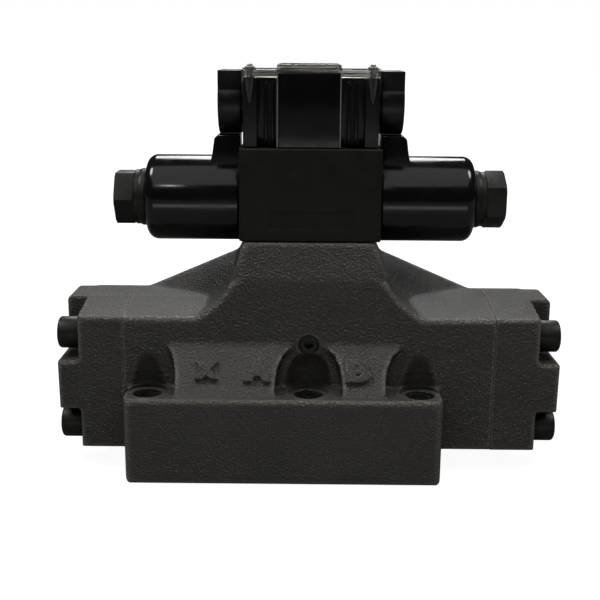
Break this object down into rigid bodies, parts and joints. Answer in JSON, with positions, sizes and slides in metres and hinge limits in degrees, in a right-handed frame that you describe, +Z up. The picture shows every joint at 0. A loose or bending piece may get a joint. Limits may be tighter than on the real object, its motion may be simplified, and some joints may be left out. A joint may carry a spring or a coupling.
{
  "type": "pilot operated directional valve",
  "caption": "Solenoid piloted spool valve: cast body with a bolt-down mounting face, end covers, pilot valve on top with two coils and a terminal box.",
  "frame": {"origin": "in the middle of the mounting face, under the middle of the main spool", "axes": "+X along both spools, to the right seen from the front; -Y out of the front with the cast port letters; +Z up, out of the mounting face"},
  "size_m": [0.2444, 0.118, 0.1944],
  "materials": {
    "cast_iron_painted": "dark grey paint over a fine cast skin",
    "steel": "turned and ground",
    "black_oxide_steel": "black oxide",
    "pilot_body_black": "black coated, milled flat",
    "coil_moulding": "glossy black moulding",
    "black_plastic": "satin black moulding",
    "clear_plastic": "clear moulding",
    "rubber": "matt"
  },
  "bodies": {
    "valve_body": {"main_body": "cast_iron_painted", "end_cover_left": "cast_iron_painted", "end_cover_right": "cast_iron_painted", "main_spring_left": "steel", "main_spring_right": "steel", "pilot_spring_left": "steel", "pilot_spring_right": "steel", "core_tube_left": "steel", "core_tube_right": "steel", "lid_screw_left": "steel", "lid_screw_right": "steel", "front_plug": "black_oxide_steel", "rear_plug": "black_oxide_steel", "coil_nut_left": "black_oxide_steel", "coil_nut_right": "black_oxide_steel", "pilot_bolt_1": "black_oxide_steel", "pilot_bolt_2": "black_oxide_steel", "pilot_bolt_3": "black_oxide_steel", "pilot_bolt_4": "black_oxide_steel", "cover_bolt_left_1": "black_oxide_steel", "cover_bolt_left_2": "black_oxide_steel", "cover_bolt_left_3": "black_oxide_steel", "cover_bolt_left_4": "black_oxide_steel", "cover_bolt_right_1": "black_oxide_steel", "cover_bolt_right_2": "black_oxide_steel", "cover_bolt_right_3": "black_oxide_steel", "cover_bolt_right_4": "black_oxide_steel", "pilot_body": "pilot_body_black", "coil_left": "coil_moulding", "coil_right": "coil_moulding", "terminal_box": "black_plastic", "front_panel": "black_plastic", "conduit_hub_left": "black_plastic", "conduit_hub_right": "black_plastic", "clear_lid": "clear_plastic", "port_seal_a": "rubber", "port_seal_b": "rubber", "port_seal_p": "rubber", "port_seal_t": "rubber", "port_seal_x": "rubber", "port_seal_y": "rubber", "port_seal_l": "rubber", "pilot_seal_p": "rubber", "pilot_seal_t": "rubber", "pilot_seal_a": "rubber", "pilot_seal_b": "rubber", "cover_seal_left": "rubber", "cover_seal_right": "rubber"},
    "main_spool": {"main_spool": "steel"},
    "pilot_spool": {"pilot_spool": "steel"},
    "armature_left": {"armature_left": "steel"},
    "armature_right": {"armature_right": "steel"},
    "override_pin_left": {"override_pin_left": "steel"},
    "override_pin_right": {"override_pin_right": "steel"}
  },
  "joints": [
    {"name": "main_spool_slide", "type": "slide", "parent": "valve_body", "child": "main_spool", "axis": [1, 0, 0], "range_m": [-0.01, 0.01], "stiffness_N_per_m": 12000, "deforming": ["main_spring_left", "main_spring_right"]},
    {"name": "pilot_spool_slide", "type": "slide", "parent": "valve_body", "child": "pilot_spool", "axis": [1, 0, 0], "range_m": [-0.003, 0.003], "stiffness_N_per_m": 4000, "deforming": ["pilot_spring_left", "pilot_spring_right"]},
    {"name": "armature_left_slide", "type": "slide", "parent": "valve_body", "child": "armature_left", "axis": [1, 0, 0], "range_m": [-0.003, 0.003]},
    {"name": "armature_right_slide", "type": "slide", "parent": "valve_body", "child": "armature_right", "axis": [1, 0, 0], "range_m": [-0.003, 0.003]},
    {"name": "override_pin_left_slide", "type": "slide", "parent": "valve_body", "child": "override_pin_left", "axis": [1, 0, 0], "range_m": [-0.003, 0.003]},
    {"name": "override_pin_right_slide", "type": "slide", "parent": "valve_body", "child": "override_pin_right", "axis": [1, 0, 0], "range_m": [-0.003, 0.003]}
  ],
  "couplings": [
    {"joint": "armature_left_slide", "follows": "pilot_spool_slide", "ratio": 1},
    {"joint": "armature_right_slide", "follows": "pilot_spool_slide", "ratio": 1},
    {"joint": "override_pin_left_slide", "follows": "pilot_spool_slide", "ratio": 1},
    {"joint": "override_pin_right_slide", "follows": "pilot_spool_slide", "ratio": 1}
  ]
}
